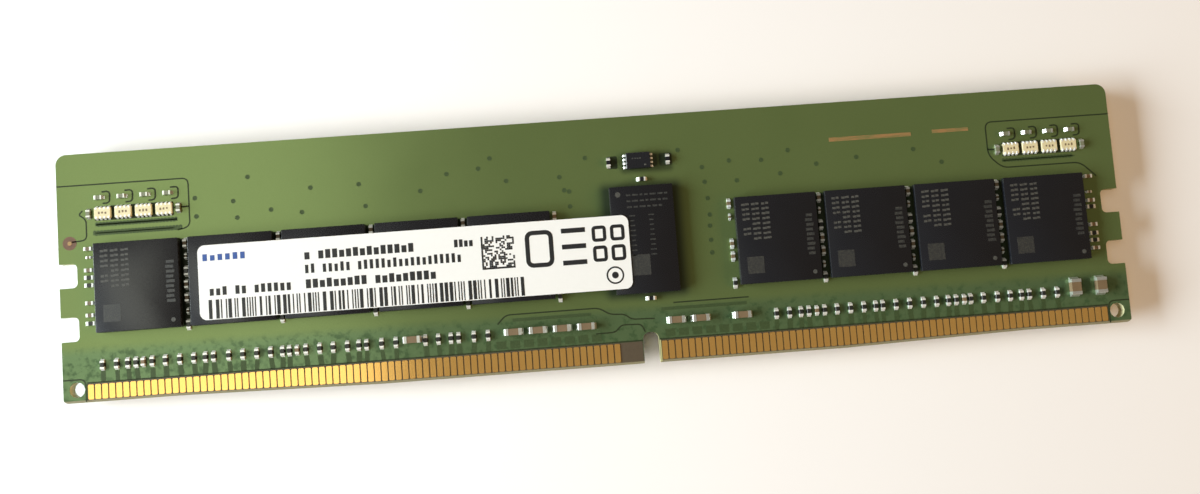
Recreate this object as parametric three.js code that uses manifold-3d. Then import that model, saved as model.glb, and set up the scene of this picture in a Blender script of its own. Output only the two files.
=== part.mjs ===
// A 288-contact registered memory module, lying flat with its register side up.
// Millimetres. X runs along the module and Y from the contact edge to the top edge.
// Z runs up through the board. The origin is under the middle of the board, on the surface it lies on.
import * as THREE from "three";
import { mergeVertices } from "three/addons/utils/BufferGeometryUtils.js";
import Module from "manifold-3d";

// Board
const boardLength = 133.35;
const boardHeight = 31.25;
const boardThickness = 1.4;
const topCornerRadius = 1.3;
const bottomCornerRadius = 0.5;

// Contact edge: its ends stand a step higher than its middle, with a ramp between
const edgeStep = 0.5;
const leftStepLength = 13.55;
const leftRampLength = 25.5;
const rightRampLength = 22.95;
const rightStepLength = 13.55;
const edgeBevel = 0.3;

// Key notch, from the left side of the board
const keyX = 72.25;
const keyWidth = 2.0;
const keyDepth = 3.85;
const keyTopRadius = 0.9;

// Latch notches, two in each side, heights measured above the contact edge
const latchNotchDepth = 2.2;
const latchNotchWidth = 3.0;
const latchNotchRadius = 0.6;
const lowerNotchBottom = 8.0;
const upperNotchBottom = 14.6;

// Tooling holes in the two bottom corners
const toolingHoleRadius = 0.95;
const toolingHoleInset = 1.7;
const toolingHoleHeight = 2.1;

// Contacts, the same on both faces
const contactPitch = 0.85;
const contactWidth = 0.6;
const contactThickness = 0.05;
const contactTop = 2.6;
const contactFoot = 0.35;
const contactCornerCut = 0.12;
const contactLinkHeight = 0.15;
const leftContactCount = 77;
const rightContactCount = 67;
const keyToLeftContact = 4.3;
const keyToRightContact = 1.65;

// Ball grid packages: the memory chips and the register stand equally high, so the label lies flat
const packageHeight = 1.1;
const ballHeight = 0.3;
const memoryWidth = 10.3;
const memoryHeight = 11.0;
const memoryBallStripWidth = 2.1;
const memoryBallStripHeight = 10.1;
const memoryBallStripSpread = 6.4;
const registerWidth = 8.0;
const registerHeight = 13.5;
const registerBallMargin = 0.5;

// How the free length of the board is shared, from its left side to its right side
const leftMarginShare = 4.65;
const memoryGapShare = 1.15;
const registerGapShare = 7.6;
const rightMarginShare = 4.75;
const memoryLeftCount = 5;
const memoryRightCount = 4;

// How the free height beside the memory chips is shared
const belowMemoryShare = 8.86;
const memoryToArrayShare = 3.07;
const arrayToBypassShare = 0.98;
const aboveBypassShare = 5.4;

// How the free height beside the register is shared
const belowRegisterShare = 8.7;
const belowRegisterCapacitorDrop = 0.4;
const registerCapacitorShift = 0.3;
const registerToCapacitorShare = 0.65;
const capacitorToSensorShare = 1.1;
const aboveSensorShare = 4.8;

// Resistor arrays: four resistors side by side in one ceramic body
const arrayLength = 2.0;
const arrayWidth = 1.0;
const arrayThickness = 0.42;
const arrayPitch = 2.5;
const arrayCount = 4;
const arrayTerminalPitch = 0.5;
const arrayTerminalWidth = 0.3;
const arrayTerminalReach = 0.22;
const arrayTerminalHeight = 0.34;
const arrayShift = 0.4;
const arrayToEndCapacitor = 0.5;
const bypassPitch = 2.8;

// Sensor and identity chip
const sensorLength = 3.0;
const sensorWidth = 2.0;
const sensorThickness = 0.75;
const sensorTerminalPitch = 0.5;
const sensorTerminalWidth = 0.28;
const sensorTerminalReach = 0.22;
const sensorTerminalHeight = 0.2;
const sensorToCapacitor = 2.25;

// Capacitors: length, width and thickness, and the length of each metal end
const smallCapacitor = { length: 1.0, width: 0.5, thickness: 0.5, end: 0.25 };
const rowCapacitor = { length: 2.1, width: 0.85, thickness: 0.8, end: 0.45 };
const cornerCapacitor = { length: 2.0, width: 1.25, thickness: 0.85, end: 0.45 };
const capacitorEndLip = 0.03;
const rowCapacitorHeight = 5.15;
const keyToLeftCapacitor = 7.95;
const leftCapacitorPitch = 3.02;
const keyToRightCapacitors = [3.35, 6.4, 11.65];
const keyToFarCapacitor = 29.55;
const cornerCapacitorHeight = 5.45;
const cornerCapacitorInsets = [6.95, 3.65];

// Label, stuck across four memory chips and the edge of the register
const labelThickness = 0.1;
const labelHeight = 9.2;
const labelCornerRadius = 0.9;
const labelInset = 1.2;
const labelLapOnRegister = 2.1;
const labelDrop = 0.35;

// Levels
const boardBack = packageHeight;
const boardFront = boardBack + boardThickness;
const labelLevel = boardFront + packageHeight;
const arcSteps = 6;
const cutterReach = 1;

const laminate = new THREE.MeshStandardMaterial({ color: 0x55703a, roughness: 0.35, metalness: 0 });
const mould = new THREE.MeshStandardMaterial({ color: 0x2c2d2e, roughness: 0.55, metalness: 0 });
const gold = new THREE.MeshStandardMaterial({ color: 0xd8a247, roughness: 0.25, metalness: 1 });
const paper = new THREE.MeshStandardMaterial({ color: 0xf4f5f2, roughness: 0.7, metalness: 0 });
const arrayCeramic = new THREE.MeshStandardMaterial({ color: 0xd9c89a, roughness: 0.4, metalness: 0.2 });
const capacitorCeramic = new THREE.MeshStandardMaterial({ color: 0x8a6a50, roughness: 0.45, metalness: 0.2 });

const wasm = await Module();
wasm.setup();

function toSolid(geometry) {
  const bare = geometry.index ? geometry.toNonIndexed() : geometry.clone();
  bare.deleteAttribute("normal");
  bare.deleteAttribute("uv");
  const merged = mergeVertices(bare, 1e-4);
  const mesh = new wasm.Mesh({
    numProp: 3,
    vertProperties: merged.attributes.position.array,
    triVerts: new Uint32Array(merged.index.array),
  });
  return new wasm.Manifold(mesh);
}

function toGeometry(solid) {
  const mesh = solid.getMesh();
  const indexed = new THREE.BufferGeometry();
  indexed.setAttribute("position", new THREE.BufferAttribute(mesh.vertProperties, 3));
  indexed.setIndex(new THREE.BufferAttribute(mesh.triVerts, 1));
  const faceted = indexed.toNonIndexed();
  faceted.computeVertexNormals();
  return faceted;
}

function joined(geometries) {
  const solids = geometries.map(toSolid);
  return toGeometry(solids.reduce((whole, piece) => whole.add(piece)));
}

// A box by its middle and size in plan, from one level up to another.
function block(x, y, width, height, bottom, top) {
  const geometry = new THREE.BoxGeometry(width, height, top - bottom);
  geometry.translate(x, y, (bottom + top) / 2);
  return geometry;
}

// A closed outline through [x, y, radius] corners, each rounded by its radius.
function roundedShape(corners) {
  const shape = new THREE.Shape();
  corners.forEach(([x, y, radius], i) => {
    const corner = new THREE.Vector2(x, y);
    const before = new THREE.Vector2(...corners.at(i - 1)).sub(corner).normalize();
    const after = new THREE.Vector2(...corners[(i + 1) % corners.length]).sub(corner).normalize();
    const halfAngle = Math.acos(before.dot(after)) / 2;
    const start = before.clone().multiplyScalar(radius / Math.tan(halfAngle)).add(corner);
    if (i === 0) shape.moveTo(start.x, start.y);
    else shape.lineTo(start.x, start.y);
    if (radius > 0) {
      const middle = before.clone().add(after).setLength(radius / Math.sin(halfAngle)).add(corner);
      const end = after.clone().multiplyScalar(radius / Math.tan(halfAngle)).add(corner);
      const from = Math.atan2(start.y - middle.y, start.x - middle.x);
      const to = Math.atan2(end.y - middle.y, end.x - middle.x);
      shape.absarc(middle.x, middle.y, radius, from, to, before.cross(after) > 0);
    }
  });
  return shape;
}

function plate(shape, thickness) {
  return new THREE.ExtrudeGeometry(shape, {
    depth: thickness,
    bevelEnabled: false,
    curveSegments: arcSteps,
  });
}

// The contact edge as [x, y] points, from the left side of the board to its right side.
function contactEdge() {
  return [
    [0, edgeStep],
    [leftStepLength, edgeStep],
    [leftStepLength + leftRampLength, 0],
    [boardLength - rightStepLength - rightRampLength, 0],
    [boardLength - rightStepLength, edgeStep],
    [boardLength, edgeStep],
  ];
}

function edgeHeightAt(x) {
  const points = contactEdge();
  const next = Math.max(1, points.findIndex(([px]) => px >= x));
  const [x0, y0] = points[next - 1];
  const [x1, y1] = points[next];
  return y0 + ((y1 - y0) * (x - x0)) / (x1 - x0);
}

// One latch notch as outline corners, walked upwards in the right side or downwards in the left.
function latchNotch(side, inward, bottom, up) {
  const levels = up ? [bottom, bottom + latchNotchWidth] : [bottom + latchNotchWidth, bottom];
  const wall = side + inward * latchNotchDepth;
  return [
    [side, levels[0], 0],
    [wall, levels[0], latchNotchRadius],
    [wall, levels[1], latchNotchRadius],
    [side, levels[1], 0],
  ];
}

function boardShape() {
  const [leftEnd, leftRampTop, leftRampFoot, rightRampFoot, rightRampTop, rightEnd] = contactEdge();
  const shape = roundedShape([
    [...leftEnd, bottomCornerRadius],
    [...leftRampTop, 0],
    [...leftRampFoot, 0],
    [keyX - keyWidth / 2, 0, 0],
    [keyX - keyWidth / 2, keyDepth, keyTopRadius],
    [keyX + keyWidth / 2, keyDepth, keyTopRadius],
    [keyX + keyWidth / 2, 0, 0],
    [...rightRampFoot, 0],
    [...rightRampTop, 0],
    [...rightEnd, bottomCornerRadius],
    ...latchNotch(boardLength, -1, lowerNotchBottom, true),
    ...latchNotch(boardLength, -1, upperNotchBottom, true),
    [boardLength, boardHeight, topCornerRadius],
    [0, boardHeight, topCornerRadius],
    ...latchNotch(0, 1, upperNotchBottom, false),
    ...latchNotch(0, 1, lowerNotchBottom, false),
  ]);
  for (const x of [toolingHoleInset, boardLength - toolingHoleInset]) {
    const hole = new THREE.Path();
    hole.absarc(x, toolingHoleHeight, toolingHoleRadius, 0, 2 * Math.PI, true);
    shape.holes.push(hole);
  }
  return shape;
}

// A wedge that takes the corner off one stretch of the contact edge, on the front (up 1) or back (up -1).
function bevelCutter([x0, y0], [x1, y1], level, up) {
  const reach = cutterReach;
  const section = new THREE.Shape([
    new THREE.Vector2(edgeBevel + reach, up * reach),
    new THREE.Vector2(-reach, up * reach),
    new THREE.Vector2(-reach, -up * (edgeBevel + reach)),
  ]);
  const wedge = new THREE.ExtrudeGeometry(section, { depth: x1 - x0, bevelEnabled: false });
  const along = new THREE.Vector3(1, (y1 - y0) / (x1 - x0), 0);
  const across = new THREE.Vector3(0, 1, 0);
  const upward = new THREE.Vector3(0, 0, 1);
  wedge.applyMatrix4(new THREE.Matrix4().makeBasis(across, upward, along));
  wedge.translate(x0, y0, level);
  return wedge;
}

function boardGeometry() {
  let board = toSolid(plate(boardShape(), boardThickness));
  const edge = contactEdge();
  for (const [level, up] of [[boardThickness, 1], [0, -1]]) {
    for (let i = 0; i + 1 < edge.length; i += 1) {
      board = board.subtract(toSolid(bevelCutter(edge[i], edge[i + 1], level, up)));
    }
  }
  return toGeometry(board);
}

// One bank of contacts: fingers joined at their tops by the narrow link that runs under the solder mask.
function contactBankGeometry(firstX, count) {
  const half = contactWidth / 2;
  const corners = [];
  for (let i = 0; i < count; i += 1) {
    const x = firstX + i * contactPitch;
    corners.push([x - half, contactTop]);
    corners.push([x - half, edgeHeightAt(x - half) + contactFoot + contactCornerCut]);
    corners.push([x - half + contactCornerCut, edgeHeightAt(x) + contactFoot]);
    corners.push([x + half - contactCornerCut, edgeHeightAt(x) + contactFoot]);
    corners.push([x + half, edgeHeightAt(x + half) + contactFoot + contactCornerCut]);
    corners.push([x + half, contactTop]);
  }
  const lastX = firstX + (count - 1) * contactPitch;
  corners.push([lastX + half, contactTop + contactLinkHeight]);
  corners.push([firstX - half, contactTop + contactLinkHeight]);
  return plate(new THREE.Shape(corners.map(([x, y]) => new THREE.Vector2(x, y))), contactThickness);
}

// A package on two strips of solder balls, its middle at the origin and its balls down on Z 0.
function memoryGeometry() {
  const spread = memoryBallStripSpread / 2;
  return joined([
    block(0, 0, memoryWidth, memoryHeight, ballHeight, packageHeight),
    block(-spread, 0, memoryBallStripWidth, memoryBallStripHeight, 0, ballHeight),
    block(spread, 0, memoryBallStripWidth, memoryBallStripHeight, 0, ballHeight),
  ]);
}

function registerGeometry() {
  const ballWidth = registerWidth - 2 * registerBallMargin;
  const ballFieldHeight = registerHeight - 2 * registerBallMargin;
  return joined([
    block(0, 0, registerWidth, registerHeight, ballHeight, packageHeight),
    block(0, 0, ballWidth, ballFieldHeight, 0, ballHeight),
  ]);
}

// Metal terminals in two opposite rows, along X, that reach out past a body of the given width.
function terminalRows(count, pitch, width, bodyWidth, reach, top) {
  const terminals = [];
  for (let i = 0; i < count; i += 1) {
    const x = (i - (count - 1) / 2) * pitch;
    terminals.push(block(x, 0, width, bodyWidth + 2 * reach, 0, top));
  }
  return terminals;
}

function arrayGeometry() {
  const terminals = terminalRows(
    4, arrayTerminalPitch, arrayTerminalWidth, arrayWidth, arrayTerminalReach, arrayTerminalHeight,
  );
  return joined([block(0, 0, arrayLength, arrayWidth, 0, arrayThickness), ...terminals]);
}

// The terminals of the sensor chip are on its short sides, so it is made upright and turned.
function sensorGeometry() {
  const terminals = terminalRows(
    4, sensorTerminalPitch, sensorTerminalWidth, sensorLength, sensorTerminalReach, sensorTerminalHeight,
  );
  const geometry = joined([block(0, 0, sensorWidth, sensorLength, 0, sensorThickness), ...terminals]);
  geometry.rotateZ(Math.PI / 2);
  return geometry;
}

// A capacitor along X: a ceramic body with a slightly larger metal cap on each end.
function capacitorGeometry({ length, width, thickness, end }) {
  const endX = (length - end) / 2;
  const bodyWidth = width - 2 * capacitorEndLip;
  const bodyTop = thickness - capacitorEndLip;
  return joined([
    block(0, 0, length - end, bodyWidth, capacitorEndLip, bodyTop),
    block(-endX, 0, end, width, 0, thickness),
    block(endX, 0, end, width, 0, thickness),
  ]);
}

function labelGeometry(width) {
  const halfWidth = width / 2;
  const halfHeight = labelHeight / 2;
  const shape = roundedShape([
    [-halfWidth, -halfHeight, labelCornerRadius],
    [halfWidth, -halfHeight, labelCornerRadius],
    [halfWidth, halfHeight, labelCornerRadius],
    [-halfWidth, halfHeight, labelCornerRadius],
  ]);
  return plate(shape, labelThickness);
}

// Middles of pieces set in a line from start to end. Each gap takes its share of the free length.
function spread(start, end, sizes, gapShares) {
  const free = sizes.reduce((left, size) => left - size, end - start);
  const shares = gapShares.reduce((sum, share) => sum + share, 0);
  let reached = start;
  return sizes.map((size, i) => {
    reached += (free * gapShares[i]) / shares + size;
    return reached - size / 2;
  });
}

// The row of packages along the board: memory chips on both sides of the register.
function packageColumns() {
  const leftGaps = Array(memoryLeftCount - 1).fill(memoryGapShare);
  const rightGaps = Array(memoryRightCount - 1).fill(memoryGapShare);
  const sizes = [
    ...Array(memoryLeftCount).fill(memoryWidth),
    registerWidth,
    ...Array(memoryRightCount).fill(memoryWidth),
  ];
  const gaps = [
    leftMarginShare, ...leftGaps, registerGapShare, registerGapShare, ...rightGaps, rightMarginShare,
  ];
  const middles = spread(0, boardLength, sizes, gaps);
  const [registerX] = middles.splice(memoryLeftCount, 1);
  return { memoryXs: middles, registerX };
}

const arrayDepth = arrayWidth + 2 * arrayTerminalReach;
const [memoryY, arrayY, bypassY] = spread(
  0, boardHeight,
  [memoryHeight, arrayDepth, smallCapacitor.width],
  [belowMemoryShare, memoryToArrayShare, arrayToBypassShare, aboveBypassShare],
);
const [registerY, registerCapacitorY, sensorY] = spread(
  0, boardHeight,
  [registerHeight, smallCapacitor.width, sensorWidth],
  [belowRegisterShare, registerToCapacitorShare, capacitorToSensorShare, aboveSensorShare],
);
const { memoryXs, registerX } = packageColumns();

// Everything on the board is placed from its left side and its contact edge.
const board = new THREE.Group();
board.position.set(-boardLength / 2, -boardHeight / 2, 0);

function place(name, geometry, material, x, y, z) {
  const mesh = new THREE.Mesh(geometry, material);
  mesh.name = name;
  mesh.position.set(x, y, z);
  board.add(mesh);
  return mesh;
}

function placeBoard() {
  place("board", boardGeometry(), laminate, 0, 0, boardBack);
}

function placeContacts() {
  const lastLeftX = keyX - keyToLeftContact;
  const firstLeftX = lastLeftX - (leftContactCount - 1) * contactPitch;
  const banks = {
    left: contactBankGeometry(firstLeftX, leftContactCount),
    right: contactBankGeometry(keyX + keyToRightContact, rightContactCount),
  };
  for (const [side, geometry] of Object.entries(banks)) {
    place(`contacts_front_${side}`, geometry, gold, 0, 0, boardFront);
    place(`contacts_back_${side}`, geometry, gold, 0, 0, boardBack - contactThickness);
  }
}

function placePackages() {
  const memory = memoryGeometry();
  memoryXs.forEach((x, i) => {
    place(`memory_chip_front_${i + 1}`, memory, mould, x, memoryY, boardFront);
    place(`memory_chip_back_${i + 1}`, memory, mould, x, memoryY, boardBack).rotation.x = Math.PI;
  });
  place("register_chip", registerGeometry(), mould, registerX, registerY, boardFront);
}

function placeLabel() {
  const left = memoryXs[1] - memoryWidth / 2 + labelInset;
  const right = registerX - registerWidth / 2 + labelLapOnRegister;
  const geometry = labelGeometry(right - left);
  place("label", geometry, paper, (left + right) / 2, memoryY - labelDrop, labelLevel);
}

// One row of resistor arrays over an end chip, its bypass capacitors above it and one at each end.
function placeArrayRow(side, middleX) {
  const array = arrayGeometry();
  const capacitor = capacitorGeometry(smallCapacitor);
  for (let i = 0; i < arrayCount; i += 1) {
    const step = i - (arrayCount - 1) / 2;
    place(`resistor_array_${side}_${i + 1}`, array, arrayCeramic,
      middleX + step * arrayPitch, arrayY, boardFront);
    place(`bypass_capacitor_${side}_${i + 1}`, capacitor, capacitorCeramic,
      middleX + step * bypassPitch, bypassY, boardFront);
  }
  const rowHalf = ((arrayCount - 1) * arrayPitch + arrayLength) / 2;
  const endX = rowHalf + arrayToEndCapacitor + smallCapacitor.width / 2;
  [-endX, endX].forEach((offset, i) => {
    const name = `array_end_capacitor_${side}_${i + 1}`;
    place(name, capacitor, capacitorCeramic, middleX + offset, arrayY, boardFront).rotation.z =
      Math.PI / 2;
  });
}

function placeSensor() {
  const capacitor = capacitorGeometry(smallCapacitor);
  place("sensor_chip", sensorGeometry(), mould, registerX, sensorY, boardFront);
  const sideX = sensorLength / 2 + sensorToCapacitor;
  [-sideX, sideX].forEach((offset, i) => {
    const name = `sensor_capacitor_${i + 1}`;
    place(name, capacitor, capacitorCeramic, registerX + offset, sensorY, boardFront).rotation.z =
      Math.PI / 2;
  });
  const belowY = registerY - (registerHeight + smallCapacitor.width) / 2 - belowRegisterCapacitorDrop;
  const capacitorX = registerX + registerCapacitorShift;
  place("register_capacitor_upper", capacitor, capacitorCeramic, capacitorX, registerCapacitorY, boardFront);
  place("register_capacitor_lower", capacitor, capacitorCeramic, capacitorX, belowY, boardFront);
}

// The larger capacitors in line above the contacts, placed from the key.
function placeRowCapacitors() {
  const geometry = capacitorGeometry(rowCapacitor);
  for (let i = 0; i < 4; i += 1) {
    const x = keyX - keyToLeftCapacitor - (3 - i) * leftCapacitorPitch;
    place(`row_capacitor_left_${i + 1}`, geometry, capacitorCeramic, x, rowCapacitorHeight, boardFront);
  }
  keyToRightCapacitors.forEach((offset, i) => {
    place(`row_capacitor_right_${i + 1}`, geometry, capacitorCeramic,
      keyX + offset, rowCapacitorHeight, boardFront);
  });
  place("row_capacitor_far_left", geometry, capacitorCeramic,
    keyX - keyToFarCapacitor, rowCapacitorHeight, boardFront);
}

function placeCornerCapacitors() {
  const geometry = capacitorGeometry(cornerCapacitor);
  cornerCapacitorInsets.forEach((inset, i) => {
    place(`corner_capacitor_${i + 1}`, geometry, capacitorCeramic,
      boardLength - inset, cornerCapacitorHeight, boardFront).rotation.z = Math.PI / 2;
  });
}

placeBoard();
placeContacts();
placePackages();
placeLabel();
placeArrayRow("left", memoryXs[0] - arrayShift);
placeArrayRow("right", memoryXs.at(-1) + arrayShift);
placeSensor();
placeRowCapacitors();
placeCornerCapacitors();

const ramModule = new THREE.Group();
ramModule.add(board);

export default ramModule;
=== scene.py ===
import math
import random
from contextlib import contextmanager

import bmesh
import bpy
from mathutils import Matrix, Vector


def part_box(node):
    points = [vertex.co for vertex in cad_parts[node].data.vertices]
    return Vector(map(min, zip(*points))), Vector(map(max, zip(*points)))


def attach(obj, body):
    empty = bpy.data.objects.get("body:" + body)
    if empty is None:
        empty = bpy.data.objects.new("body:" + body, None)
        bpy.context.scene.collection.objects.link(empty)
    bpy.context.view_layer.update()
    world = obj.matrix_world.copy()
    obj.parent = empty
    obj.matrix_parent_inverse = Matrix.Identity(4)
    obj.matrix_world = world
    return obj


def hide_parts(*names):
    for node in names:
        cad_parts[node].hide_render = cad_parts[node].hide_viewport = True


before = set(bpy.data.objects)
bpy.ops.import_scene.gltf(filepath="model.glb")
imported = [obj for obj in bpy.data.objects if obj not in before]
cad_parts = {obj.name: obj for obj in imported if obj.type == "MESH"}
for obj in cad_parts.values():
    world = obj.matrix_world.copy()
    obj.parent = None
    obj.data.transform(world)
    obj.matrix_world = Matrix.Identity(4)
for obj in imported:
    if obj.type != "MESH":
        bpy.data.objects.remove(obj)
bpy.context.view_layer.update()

# ------------------------------------------------------------------ the frame, in millimetres
# Every piece is modelled in board millimetres: x from the board's left side, y up from the contact
# edge, z up from the surface the module lies on. finished() brings it into the frame.

MM = 0.001  # one millimetre, in metres
board_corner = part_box("board")[0]
ORIGIN = Vector((board_corner.x, board_corner.y, 0.0))


def node_box(node):
    """Lowest and highest corner of a CAD node, in board millimetres."""
    low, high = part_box(node)
    return (low - ORIGIN) / MM, (high - ORIGIN) / MM


BOARD_LOW, BOARD_HIGH = node_box("board")
LENGTH = BOARD_HIGH.x
HEIGHT = BOARD_HIGH.y
BACK = BOARD_LOW.z
FRONT = BOARD_HIGH.z
CHIP_TOP = node_box("memory_chip_front_1")[1].z
LABEL_LOW, LABEL_HIGH = node_box("label")

MASK = 0.03  # thickness of the solder mask
SKIN = 0.008  # thickness of ink, laser marks and the lines seen in the mask
PAD = 0.02  # how far the bare test land stands above the mask
MASK_TOP = FRONT + MASK
TINY = 1e-4  # how near two places are when they count as the same

# ------------------------------------------------------------------ camera, floor and lights

CAMERA_PLACE = (-0.00458, -0.01048, 0.12926)
CAMERA_TURNS = (4.555, -1.764, -4.348)  # degrees about x, y and z
CAMERA_LENS = 30.4
CAMERA_SENSOR = 36.0
CAMERA_NEAR = 0.01
CAMERA_FAR = 20.0
FLOOR_SIZE = 8.0
LIGHTS = {
    "ceiling_light": dict(
        place=(-0.281, 0.055, 0.6),
        aim=(0.0, 0.0, -1.0),
        size=(0.278, 0.42),
        colour=(0.95, 0.98, 0.84),
        power=0.66,
    ),
    "window_light": dict(
        place=(-0.52, -0.02, 0.17),
        aim=(0.52, 0.02, -0.17),
        size=(0.5, 0.22),
        colour=(0.83, 0.93, 0.95),
        power=8.8,
    ),
    "lamp_light": dict(
        place=(1.1, -0.1, 0.47),
        aim=(-1.1, 0.1, -0.47),
        size=(1.0, 0.4),
        colour=(1.0, 0.55, 0.20),
        power=9.5,
        highlights=False,
    ),
}
ROOM_COLOUR = (1.0, 0.82, 0.64, 1.0)
ROOM_STRENGTH = 0.14


def camera_and_stage():
    """A camera close above the module, a plain pale floor, three soft lights and a dim warm room."""
    turns = [math.radians(turn) for turn in CAMERA_TURNS]
    bpy.ops.object.camera_add(location=CAMERA_PLACE, rotation=turns)
    camera = bpy.context.object
    camera.data.sensor_width = CAMERA_SENSOR
    camera.data.lens = CAMERA_LENS
    camera.data.clip_start = CAMERA_NEAR
    camera.data.clip_end = CAMERA_FAR
    bpy.context.scene.camera = camera

    bpy.ops.mesh.primitive_plane_add(size=FLOOR_SIZE)
    floor = bpy.context.object
    floor.name = "floor"
    floor.data.materials.append(FINISHES["table"])

    for name, light in LIGHTS.items():
        soft_light(name, **light)

    world = bpy.data.worlds.new("room")
    world.use_nodes = True
    background = world.node_tree.nodes["Background"]
    background.inputs["Color"].default_value = ROOM_COLOUR
    background.inputs["Strength"].default_value = ROOM_STRENGTH
    bpy.context.scene.world = world
    bpy.context.scene.view_settings.view_transform = "Standard"


def soft_light(name, place, aim, size, colour, power, highlights=True):
    """A rectangular soft box that shines along aim, and may be kept out of reflections."""
    bpy.ops.object.light_add(type="AREA", location=place)
    light = bpy.context.object
    light.name = name
    light.rotation_euler = Vector(aim).to_track_quat("-Z", "Y").to_euler()
    light.data.shape = "RECTANGLE"
    light.data.size, light.data.size_y = size
    light.data.color = colour
    light.data.energy = power
    light.visible_glossy = highlights


# ------------------------------------------------------------------ shader maths


class Value:
    """A number in a shader. Arithmetic on it adds Math nodes."""

    def __init__(self, finish, socket):
        self.finish = finish
        self.socket = socket

    def maths(self, operation, *others):
        """The result of one Math node whose first value is this one."""
        node = self.finish.node("ShaderNodeMath", {"operation": operation}, dict(enumerate((self, *others))))
        return Value(self.finish, node.outputs[0])

    def __add__(self, other):
        return self.maths("ADD", other)

    def __sub__(self, other):
        return self.maths("SUBTRACT", other)

    def __mul__(self, other):
        return self.maths("MULTIPLY", other)

    def __truediv__(self, other):
        return self.maths("DIVIDE", other)

    def __radd__(self, other):
        return self + other

    def __rmul__(self, other):
        return self * other

    def __rsub__(self, other):
        return self * -1.0 + other

    def wave(self, length):
        """Rises and falls between -1 and 1, once every length millimetres."""
        return (self * (2 * math.pi / length)).maths("SINE")


class Finish:
    """A procedural material under construction."""

    def __init__(self, name, metallic=0.0, specular=0.5):
        self.material = bpy.data.materials.new(name)
        self.material.use_nodes = True
        self.tree = self.material.node_tree
        self.shader = self.tree.nodes["Principled BSDF"]
        self.metallic(metallic)
        self.feed(self.shader.inputs["Specular IOR Level"], specular)
        self.places = self.node("ShaderNodeTexCoord").outputs["Object"]

    def node(self, kind, settings=None, inputs=None):
        """Adds a node: first its settings, then the values or links of its sockets."""
        node = self.tree.nodes.new(kind)
        for name, value in (settings or {}).items():
            setattr(node, name, value)
        for name, value in (inputs or {}).items():
            self.feed(node.inputs[name], value)
        return node

    def feed(self, socket, value):
        """Links a value to a socket, or sets the socket when the value is plain."""
        if isinstance(value, Value):
            value = value.socket
        if isinstance(value, bpy.types.NodeSocket):
            self.tree.links.new(value, socket)
        else:
            socket.default_value = value

    def axes(self):
        """Object coordinates in millimetres, as three values."""
        parts = self.node("ShaderNodeSeparateXYZ", {}, {0: self.places})
        return [Value(self, parts.outputs[axis]) / MM for axis in range(3)]

    def up(self):
        """How far a surface looks straight up or down, from 0 to 1."""
        normal = self.node("ShaderNodeNewGeometry").outputs["Normal"]
        parts = self.node("ShaderNodeSeparateXYZ", {}, {0: normal})
        return Value(self, parts.outputs[2]).maths("ABSOLUTE")

    def noise(self, size, detail=2.0, roughness=0.5, stretch=(1.0, 1.0, 1.0)):
        """Soft noise between 0 and 1 whose lumps are about size millimetres across."""
        scaled = self.node(
            "ShaderNodeVectorMath",
            {"operation": "MULTIPLY"},
            {0: self.places, 1: [part / (size * MM) for part in stretch]},
        )
        node = self.node(
            "ShaderNodeTexNoise",
            {},
            {"Vector": scaled.outputs[0], "Scale": 1.0, "Detail": detail, "Roughness": roughness},
        )
        return Value(self, node.outputs["Fac"])

    def spots(self, size):
        """How far the nearest of many scattered points is, with the points about size millimetres apart."""
        scaled = self.node(
            "ShaderNodeVectorMath", {"operation": "SCALE"}, {0: self.places, "Scale": 1.0 / (size * MM)}
        )
        node = self.node("ShaderNodeTexVoronoi", {}, {"Vector": scaled.outputs[0], "Scale": 1.0})
        return Value(self, node.outputs["Distance"])

    def between(self, value, low, high):
        """0 below low, 1 above high, and smooth in between."""
        node = self.node(
            "ShaderNodeMapRange",
            {"interpolation_type": "SMOOTHSTEP"},
            {"Value": value, "From Min": low, "From Max": high},
        )
        return Value(self, node.outputs["Result"])

    def beside(self, low, high, reach):
        """1 over a box on the board, and down to 0 at reach millimetres from its sides."""
        outside = []
        for place, side in zip(self.axes()[:2], (0, 1)):
            middle_place = (low[side] + high[side] - BOARD_HIGH[side]) / 2
            half = (high[side] - low[side]) / 2
            outside.append(((place - middle_place).maths("ABSOLUTE") - half).maths("MAXIMUM", 0.0))
        across, along = outside
        distance = (across * across + along * along).maths("SQRT")
        return 1 - self.between(distance, 0.0, reach)

    def mixed(self, share, first, second):
        """A colour that goes from first to second as share goes from 0 to 1."""
        node = self.node("ShaderNodeMix", {"data_type": "RGBA"}, {0: share, 6: first, 7: second})
        return node.outputs[2]

    def bumps(self, height, depth):
        """Makes the surface uneven by depth millimetres."""
        node = self.node("ShaderNodeBump", {}, {"Height": height, "Distance": depth * MM, "Strength": 1.0})
        self.feed(self.shader.inputs["Normal"], node.outputs["Normal"])

    def colour(self, value):
        self.feed(self.shader.inputs["Base Color"], value)

    def roughness(self, value):
        self.feed(self.shader.inputs["Roughness"], value)

    def metallic(self, value):
        self.feed(self.shader.inputs["Metallic"], value)


# ------------------------------------------------------------------ finishes

# How far the painted shadow reaches past the register and the sensor; round the register it also stands in
# part for laminate with no copper under the mask.
REGISTER_SHADE = Vector((0.35, -0.3, 0.0))
SENSOR_SHADE = Vector((2.2, -0.4, 0.0))


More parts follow.
